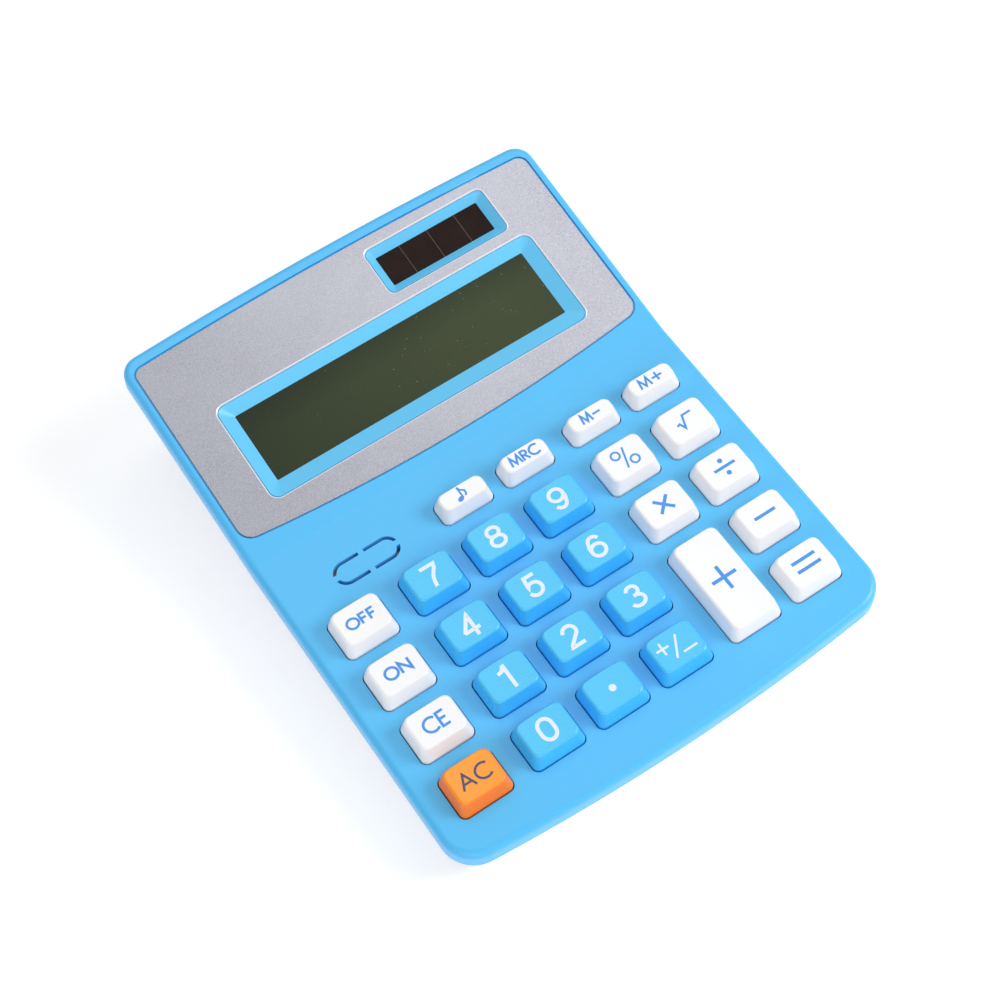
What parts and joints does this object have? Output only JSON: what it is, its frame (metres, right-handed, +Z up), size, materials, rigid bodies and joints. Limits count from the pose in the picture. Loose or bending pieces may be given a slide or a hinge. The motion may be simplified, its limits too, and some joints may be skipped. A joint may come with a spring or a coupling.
{
  "type": "desk calculator",
  "caption": "Wedge-shaped desk calculator with raised rectangular keys, a tilted display panel with a solar cell, sprung keys and a sliding battery door.",
  "frame": {"origin": "centre of the footprint on the surface that the calculator rests on", "axes": "+X to the right across the keys, +Y from the front row of keys to the display, +Z up"},
  "size_m": [0.107, 0.139, 0.0293],
  "materials": {
    "blue_shell": "moulded satin",
    "white_shell": "moulded satin",
    "blue_key": "moulded satin",
    "white_key": "moulded satin",
    "orange_key": "moulded satin",
    "plate_aluminium": "fine blasted, clear anodised",
    "polariser": "smooth film",
    "display_glass": "polished",
    "reflector_film": "satin film",
    "holder_plastic": "moulded",
    "solar_glass": "polished",
    "pad_foam": "soft foam",
    "sheet_rubber": "silicone, matt",
    "board_laminate": "green solder mask",
    "chip_resin": "cast resin",
    "capacitor_can": "sleeved can",
    "diode_glass": "glazed",
    "buzzer_brass": "rolled",
    "cell_jacket": "sleeved steel can",
    "contact_steel": "nickel plated",
    "screw_steel": "zinc plated",
    "wire_jacket": "smooth insulation",
    "ribbon_film": "heat-seal film",
    "foot_rubber": "matt"
  },
  "bodies": {
    "case": {"battery": "cell_jacket", "battery_plate": "contact_steel", "battery_spring": "contact_steel", "battery_wires": "wire_jacket", "board_screws": "screw_steel", "buzzer_disc": "buzzer_brass", "buzzer_wires": "wire_jacket", "capacitor": "capacitor_can", "case_screws": "screw_steel", "chip_resin": "chip_resin", "circuit_board": "board_laminate", "diode": "diode_glass", "faceplate": "plate_aluminium", "front_polariser": "polariser", "holder_screws": "screw_steel", "key_sheet": "sheet_rubber", "lcd_glass": "display_glass", "lcd_holder": "holder_plastic", "lcd_ribbon": "ribbon_film", "lower_case": "white_shell", "rear_reflector": "reflector_film", "rubber_feet": "foot_rubber", "solar_cell": "solar_glass", "solar_pad": "pad_foam", "solar_wires": "wire_jacket", "upper_case": "blue_shell"},
    "key_ac": {"key_ac": "orange_key"},
    "key_zero": {"key_zero": "blue_key"},
    "key_point": {"key_point": "blue_key"},
    "key_sign": {"key_sign": "blue_key"},
    "key_plus": {"key_plus": "white_key"},
    "key_equals": {"key_equals": "white_key"},
    "key_ce": {"key_ce": "white_key"},
    "key_one": {"key_one": "blue_key"},
    "key_two": {"key_two": "blue_key"},
    "key_three": {"key_three": "blue_key"},
    "key_minus": {"key_minus": "white_key"},
    "key_on": {"key_on": "white_key"},
    "key_four": {"key_four": "blue_key"},
    "key_five": {"key_five": "blue_key"},
    "key_six": {"key_six": "blue_key"},
    "key_times": {"key_times": "white_key"},
    "key_divide": {"key_divide": "white_key"},
    "key_off": {"key_off": "white_key"},
    "key_seven": {"key_seven": "blue_key"},
    "key_eight": {"key_eight": "blue_key"},
    "key_nine": {"key_nine": "blue_key"},
    "key_percent": {"key_percent": "white_key"},
    "key_root": {"key_root": "white_key"},
    "key_sound": {"key_sound": "white_key"},
    "key_memory_recall": {"key_memory_recall": "white_key"},
    "key_memory_minus": {"key_memory_minus": "white_key"},
    "key_memory_plus": {"key_memory_plus": "white_key"},
    "battery_door": {"battery_door": "white_shell"}
  },
  "joints": [
    {"name": "key_ac_press", "type": "slide", "parent": "case", "child": "key_ac", "axis": [0, -0.0698, 0.9976], "range_m": [-0.0015, 0], "stiffness_N_per_m": 400, "deforming": ["key_sheet"]},
    {"name": "key_zero_press", "type": "slide", "parent": "case", "child": "key_zero", "axis": [0, -0.0698, 0.9976], "range_m": [-0.0015, 0], "stiffness_N_per_m": 400, "deforming": ["key_sheet"]},
    {"name": "key_point_press", "type": "slide", "parent": "case", "child": "key_point", "axis": [0, -0.0698, 0.9976], "range_m": [-0.0015, 0], "stiffness_N_per_m": 400, "deforming": ["key_sheet"]},
    {"name": "key_sign_press", "type": "slide", "parent": "case", "child": "key_sign", "axis": [0, -0.0698, 0.9976], "range_m": [-0.0015, 0], "stiffness_N_per_m": 400, "deforming": ["key_sheet"]},
    {"name": "key_plus_press", "type": "slide", "parent": "case", "child": "key_plus", "axis": [0, -0.0698, 0.9976], "range_m": [-0.0015, 0], "stiffness_N_per_m": 400, "deforming": ["key_sheet"]},
    {"name": "key_equals_press", "type": "slide", "parent": "case", "child": "key_equals", "axis": [0, -0.0698, 0.9976], "range_m": [-0.0015, 0], "stiffness_N_per_m": 400, "deforming": ["key_sheet"]},
    {"name": "key_ce_press", "type": "slide", "parent": "case", "child": "key_ce", "axis": [0, -0.0698, 0.9976], "range_m": [-0.0015, 0], "stiffness_N_per_m": 400, "deforming": ["key_sheet"]},
    {"name": "key_one_press", "type": "slide", "parent": "case", "child": "key_one", "axis": [0, -0.0698, 0.9976], "range_m": [-0.0015, 0], "stiffness_N_per_m": 400, "deforming": ["key_sheet"]},
    {"name": "key_two_press", "type": "slide", "parent": "case", "child": "key_two", "axis": [0, -0.0698, 0.9976], "range_m": [-0.0015, 0], "stiffness_N_per_m": 400, "deforming": ["key_sheet"]},
    {"name": "key_three_press", "type": "slide", "parent": "case", "child": "key_three", "axis": [0, -0.0698, 0.9976], "range_m": [-0.0015, 0], "stiffness_N_per_m": 400, "deforming": ["key_sheet"]},
    {"name": "key_minus_press", "type": "slide", "parent": "case", "child": "key_minus", "axis": [0, -0.0698, 0.9976], "range_m": [-0.0015, 0], "stiffness_N_per_m": 400, "deforming": ["key_sheet"]},
    {"name": "key_on_press", "type": "slide", "parent": "case", "child": "key_on", "axis": [0, -0.0698, 0.9976], "range_m": [-0.0015, 0], "stiffness_N_per_m": 400, "deforming": ["key_sheet"]},
    {"name": "key_four_press", "type": "slide", "parent": "case", "child": "key_four", "axis": [0, -0.0698, 0.9976], "range_m": [-0.0015, 0], "stiffness_N_per_m": 400, "deforming": ["key_sheet"]},
    {"name": "key_five_press", "type": "slide", "parent": "case", "child": "key_five", "axis": [0, -0.0698, 0.9976], "range_m": [-0.0015, 0], "stiffness_N_per_m": 400, "deforming": ["key_sheet"]},
    {"name": "key_six_press", "type": "slide", "parent": "case", "child": "key_six", "axis": [0, -0.0698, 0.9976], "range_m": [-0.0015, 0], "stiffness_N_per_m": 400, "deforming": ["key_sheet"]},
    {"name": "key_times_press", "type": "slide", "parent": "case", "child": "key_times", "axis": [0, -0.0698, 0.9976], "range_m": [-0.0015, 0], "stiffness_N_per_m": 400, "deforming": ["key_sheet"]},
    {"name": "key_divide_press", "type": "slide", "parent": "case", "child": "key_divide", "axis": [0, -0.0698, 0.9976], "range_m": [-0.0015, 0], "stiffness_N_per_m": 400, "deforming": ["key_sheet"]},
    {"name": "key_off_press", "type": "slide", "parent": "case", "child": "key_off", "axis": [0, -0.0698, 0.9976], "range_m": [-0.0015, 0], "stiffness_N_per_m": 400, "deforming": ["key_sheet"]},
    {"name": "key_seven_press", "type": "slide", "parent": "case", "child": "key_seven", "axis": [0, -0.0698, 0.9976], "range_m": [-0.0015, 0], "stiffness_N_per_m": 400, "deforming": ["key_sheet"]},
    {"name": "key_eight_press", "type": "slide", "parent": "case", "child": "key_eight", "axis": [0, -0.0698, 0.9976], "range_m": [-0.0015, 0], "stiffness_N_per_m": 400, "deforming": ["key_sheet"]},
    {"name": "key_nine_press", "type": "slide", "parent": "case", "child": "key_nine", "axis": [0, -0.0698, 0.9976], "range_m": [-0.0015, 0], "stiffness_N_per_m": 400, "deforming": ["key_sheet"]},
    {"name": "key_percent_press", "type": "slide", "parent": "case", "child": "key_percent", "axis": [0, -0.0698, 0.9976], "range_m": [-0.0015, 0], "stiffness_N_per_m": 400, "deforming": ["key_sheet"]},
    {"name": "key_root_press", "type": "slide", "parent": "case", "child": "key_root", "axis": [0, -0.0698, 0.9976], "range_m": [-0.0015, 0], "stiffness_N_per_m": 400, "deforming": ["key_sheet"]},
    {"name": "key_sound_press", "type": "slide", "parent": "case", "child": "key_sound", "axis": [0, -0.0698, 0.9976], "range_m": [-0.0015, 0], "stiffness_N_per_m": 400, "deforming": ["key_sheet"]},
    {"name": "key_memory_recall_press", "type": "slide", "parent": "case", "child": "key_memory_recall", "axis": [0, -0.0698, 0.9976], "range_m": [-0.0015, 0], "stiffness_N_per_m": 400, "deforming": ["key_sheet"]},
    {"name": "key_memory_minus_press", "type": "slide", "parent": "case", "child": "key_memory_minus", "axis": [0, -0.0698, 0.9976], "range_m": [-0.0015, 0], "stiffness_N_per_m": 400, "deforming": ["key_sheet"]},
    {"name": "key_memory_plus_press", "type": "slide", "parent": "case", "child": "key_memory_plus", "axis": [0, -0.0698, 0.9976], "range_m": [-0.0015, 0], "stiffness_N_per_m": 400, "deforming": ["key_sheet"]},
    {"name": "battery_door_slide", "type": "slide", "parent": "case", "child": "battery_door", "axis": [0, 1, 0], "range_m": [0, 0.012]}
  ]
}
